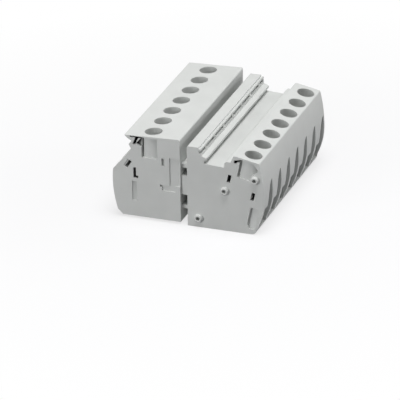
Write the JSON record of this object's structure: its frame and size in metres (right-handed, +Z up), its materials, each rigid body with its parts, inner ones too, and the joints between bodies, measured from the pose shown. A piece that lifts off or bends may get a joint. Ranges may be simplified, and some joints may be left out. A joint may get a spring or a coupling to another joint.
{
  "type": "feed-through terminal block",
  "caption": "Row of moulded poles in two halves that clamp a wall between them, with screw clamps on both sides and plug-in current bars.",
  "frame": {"origin": "bottom centre of the block's bounding box", "axes": "+X towards the outside half's conductor entries, +Y along the row of poles away from the studs, +Z up"},
  "size_m": [0.073, 0.0882, 0.0421],
  "materials": {
    "housing": "fine matte moulded polyamide",
    "screw": "zinc plated steel",
    "yoke": "zinc plated steel strip",
    "bar": "tin plated copper alloy"
  },
  "bodies": {
    "outer_half": {"outer_housing_1": "housing", "outer_housing_2": "housing", "outer_housing_3": "housing", "outer_housing_4": "housing", "outer_housing_5": "housing", "outer_housing_6": "housing", "outer_housing_7": "housing", "outer_end_cover": "housing", "current_bar_1": "bar", "current_bar_2": "bar", "current_bar_3": "bar", "current_bar_4": "bar", "current_bar_5": "bar", "current_bar_6": "bar", "current_bar_7": "bar"},
    "inner_half": {"inner_housing_1": "housing", "inner_housing_2": "housing", "inner_housing_3": "housing", "inner_housing_4": "housing", "inner_housing_5": "housing", "inner_housing_6": "housing", "inner_housing_7": "housing", "inner_end_cover": "housing", "contact_bar_1": "bar", "contact_bar_2": "bar", "contact_bar_3": "bar", "contact_bar_4": "bar", "contact_bar_5": "bar", "contact_bar_6": "bar", "contact_bar_7": "bar"},
    "outer_screw_1": {"outer_screw_1": "screw"},
    "outer_yoke_1": {"outer_yoke_1": "yoke"},
    "outer_screw_2": {"outer_screw_2": "screw"},
    "outer_yoke_2": {"outer_yoke_2": "yoke"},
    "outer_screw_3": {"outer_screw_3": "screw"},
    "outer_yoke_3": {"outer_yoke_3": "yoke"},
    "outer_screw_4": {"outer_screw_4": "screw"},
    "outer_yoke_4": {"outer_yoke_4": "yoke"},
    "outer_screw_5": {"outer_screw_5": "screw"},
    "outer_yoke_5": {"outer_yoke_5": "yoke"},
    "outer_screw_6": {"outer_screw_6": "screw"},
    "outer_yoke_6": {"outer_yoke_6": "yoke"},
    "outer_screw_7": {"outer_screw_7": "screw"},
    "outer_yoke_7": {"outer_yoke_7": "yoke"},
    "inner_screw_1": {"inner_screw_1": "screw"},
    "inner_yoke_1": {"inner_yoke_1": "yoke"},
    "inner_screw_2": {"inner_screw_2": "screw"},
    "inner_yoke_2": {"inner_yoke_2": "yoke"},
    "inner_screw_3": {"inner_screw_3": "screw"},
    "inner_yoke_3": {"inner_yoke_3": "yoke"},
    "inner_screw_4": {"inner_screw_4": "screw"},
    "inner_yoke_4": {"inner_yoke_4": "yoke"},
    "inner_screw_5": {"inner_screw_5": "screw"},
    "inner_yoke_5": {"inner_yoke_5": "yoke"},
    "inner_screw_6": {"inner_screw_6": "screw"},
    "inner_yoke_6": {"inner_yoke_6": "yoke"},
    "inner_screw_7": {"inner_screw_7": "screw"},
    "inner_yoke_7": {"inner_yoke_7": "yoke"}
  },
  "joints": [
    {"name": "inner_half_slide", "type": "slide", "parent": "outer_half", "child": "inner_half", "axis": [-1, 0, 0], "range_m": [-0.0022, 0.02]},
    {"name": "outer_screw_turn_1", "type": "hinge", "parent": "outer_half", "child": "outer_screw_1", "pos_m": [0.02731, -0.0358, 0.02572], "axis": [-0.1994, 0, -0.9799], "range_deg": [0, 2162]},
    {"name": "outer_yoke_lift_1", "type": "slide", "parent": "outer_half", "child": "outer_yoke_1", "axis": [0.1994, 0, 0.9799], "range_m": [0, 0.0048]},
    {"name": "outer_screw_turn_2", "type": "hinge", "parent": "outer_half", "child": "outer_screw_2", "pos_m": [0.02731, -0.0236, 0.02572], "axis": [-0.1994, 0, -0.9799], "range_deg": [0, 2162]},
    {"name": "outer_yoke_lift_2", "type": "slide", "parent": "outer_half", "child": "outer_yoke_2", "axis": [0.1994, 0, 0.9799], "range_m": [0, 0.0048]},
    {"name": "outer_screw_turn_3", "type": "hinge", "parent": "outer_half", "child": "outer_screw_3", "pos_m": [0.02731, -0.0114, 0.02572], "axis": [-0.1994, 0, -0.9799], "range_deg": [0, 2162]},
    {"name": "outer_yoke_lift_3", "type": "slide", "parent": "outer_half", "child": "outer_yoke_3", "axis": [0.1994, 0, 0.9799], "range_m": [0, 0.0048]},
    {"name": "outer_screw_turn_4", "type": "hinge", "parent": "outer_half", "child": "outer_screw_4", "pos_m": [0.02731, 0.0008, 0.02572], "axis": [-0.1994, 0, -0.9799], "range_deg": [0, 2162]},
    {"name": "outer_yoke_lift_4", "type": "slide", "parent": "outer_half", "child": "outer_yoke_4", "axis": [0.1994, 0, 0.9799], "range_m": [0, 0.0048]},
    {"name": "outer_screw_turn_5", "type": "hinge", "parent": "outer_half", "child": "outer_screw_5", "pos_m": [0.02731, 0.013, 0.02572], "axis": [-0.1994, 0, -0.9799], "range_deg": [0, 2162]},
    {"name": "outer_yoke_lift_5", "type": "slide", "parent": "outer_half", "child": "outer_yoke_5", "axis": [0.1994, 0, 0.9799], "range_m": [0, 0.0048]},
    {"name": "outer_screw_turn_6", "type": "hinge", "parent": "outer_half", "child": "outer_screw_6", "pos_m": [0.02731, 0.0252, 0.02572], "axis": [-0.1994, 0, -0.9799], "range_deg": [0, 2162]},
    {"name": "outer_yoke_lift_6", "type": "slide", "parent": "outer_half", "child": "outer_yoke_6", "axis": [0.1994, 0, 0.9799], "range_m": [0, 0.0048]},
    {"name": "outer_screw_turn_7", "type": "hinge", "parent": "outer_half", "child": "outer_screw_7", "pos_m": [0.02731, 0.0374, 0.02572], "axis": [-0.1994, 0, -0.9799], "range_deg": [0, 2162]},
    {"name": "outer_yoke_lift_7", "type": "slide", "parent": "outer_half", "child": "outer_yoke_7", "axis": [0.1994, 0, 0.9799], "range_m": [0, 0.0048]},
    {"name": "inner_screw_turn_1", "type": "hinge", "parent": "inner_half", "child": "inner_screw_1", "pos_m": [-0.0186, -0.0358, 0.03054], "axis": [0, 0, -1], "range_deg": [0, 2162]},
    {"name": "inner_yoke_lift_1", "type": "slide", "parent": "inner_half", "child": "inner_yoke_1", "axis": [0, 0, 1], "range_m": [0, 0.0048]},
    {"name": "inner_screw_turn_2", "type": "hinge", "parent": "inner_half", "child": "inner_screw_2", "pos_m": [-0.0186, -0.0236, 0.03054], "axis": [0, 0, -1], "range_deg": [0, 2162]},
    {"name": "inner_yoke_lift_2", "type": "slide", "parent": "inner_half", "child": "inner_yoke_2", "axis": [0, 0, 1], "range_m": [0, 0.0048]},
    {"name": "inner_screw_turn_3", "type": "hinge", "parent": "inner_half", "child": "inner_screw_3", "pos_m": [-0.0186, -0.0114, 0.03054], "axis": [0, 0, -1], "range_deg": [0, 2162]},
    {"name": "inner_yoke_lift_3", "type": "slide", "parent": "inner_half", "child": "inner_yoke_3", "axis": [0, 0, 1], "range_m": [0, 0.0048]},
    {"name": "inner_screw_turn_4", "type": "hinge", "parent": "inner_half", "child": "inner_screw_4", "pos_m": [-0.0186, 0.0008, 0.03054], "axis": [0, 0, -1], "range_deg": [0, 2162]},
    {"name": "inner_yoke_lift_4", "type": "slide", "parent": "inner_half", "child": "inner_yoke_4", "axis": [0, 0, 1], "range_m": [0, 0.0048]},
    {"name": "inner_screw_turn_5", "type": "hinge", "parent": "inner_half", "child": "inner_screw_5", "pos_m": [-0.0186, 0.013, 0.03054], "axis": [0, 0, -1], "range_deg": [0, 2162]},
    {"name": "inner_yoke_lift_5", "type": "slide", "parent": "inner_half", "child": "inner_yoke_5", "axis": [0, 0, 1], "range_m": [0, 0.0048]},
    {"name": "inner_screw_turn_6", "type": "hinge", "parent": "inner_half", "child": "inner_screw_6", "pos_m": [-0.0186, 0.0252, 0.03054], "axis": [0, 0, -1], "range_deg": [0, 2162]},
    {"name": "inner_yoke_lift_6", "type": "slide", "parent": "inner_half", "child": "inner_yoke_6", "axis": [0, 0, 1], "range_m": [0, 0.0048]},
    {"name": "inner_screw_turn_7", "type": "hinge", "parent": "inner_half", "child": "inner_screw_7", "pos_m": [-0.0186, 0.0374, 0.03054], "axis": [0, 0, -1], "range_deg": [0, 2162]},
    {"name": "inner_yoke_lift_7", "type": "slide", "parent": "inner_half", "child": "inner_yoke_7", "axis": [0, 0, 1], "range_m": [0, 0.0048]}
  ],
  "couplings": [
    {"joint": "outer_screw_turn_1", "follows": "outer_yoke_lift_1", "rad_per_m": 7854},
    {"joint": "outer_screw_turn_2", "follows": "outer_yoke_lift_2", "rad_per_m": 7854},
    {"joint": "outer_screw_turn_3", "follows": "outer_yoke_lift_3", "rad_per_m": 7854},
    {"joint": "outer_screw_turn_4", "follows": "outer_yoke_lift_4", "rad_per_m": 7854},
    {"joint": "outer_screw_turn_5", "follows": "outer_yoke_lift_5", "rad_per_m": 7854},
    {"joint": "outer_screw_turn_6", "follows": "outer_yoke_lift_6", "rad_per_m": 7854},
    {"joint": "outer_screw_turn_7", "follows": "outer_yoke_lift_7", "rad_per_m": 7854},
    {"joint": "inner_screw_turn_1", "follows": "inner_yoke_lift_1", "rad_per_m": 7854},
    {"joint": "inner_screw_turn_2", "follows": "inner_yoke_lift_2", "rad_per_m": 7854},
    {"joint": "inner_screw_turn_3", "follows": "inner_yoke_lift_3", "rad_per_m": 7854},
    {"joint": "inner_screw_turn_4", "follows": "inner_yoke_lift_4", "rad_per_m": 7854},
    {"joint": "inner_screw_turn_5", "follows": "inner_yoke_lift_5", "rad_per_m": 7854},
    {"joint": "inner_screw_turn_6", "follows": "inner_yoke_lift_6", "rad_per_m": 7854},
    {"joint": "inner_screw_turn_7", "follows": "inner_yoke_lift_7", "rad_per_m": 7854}
  ]
}
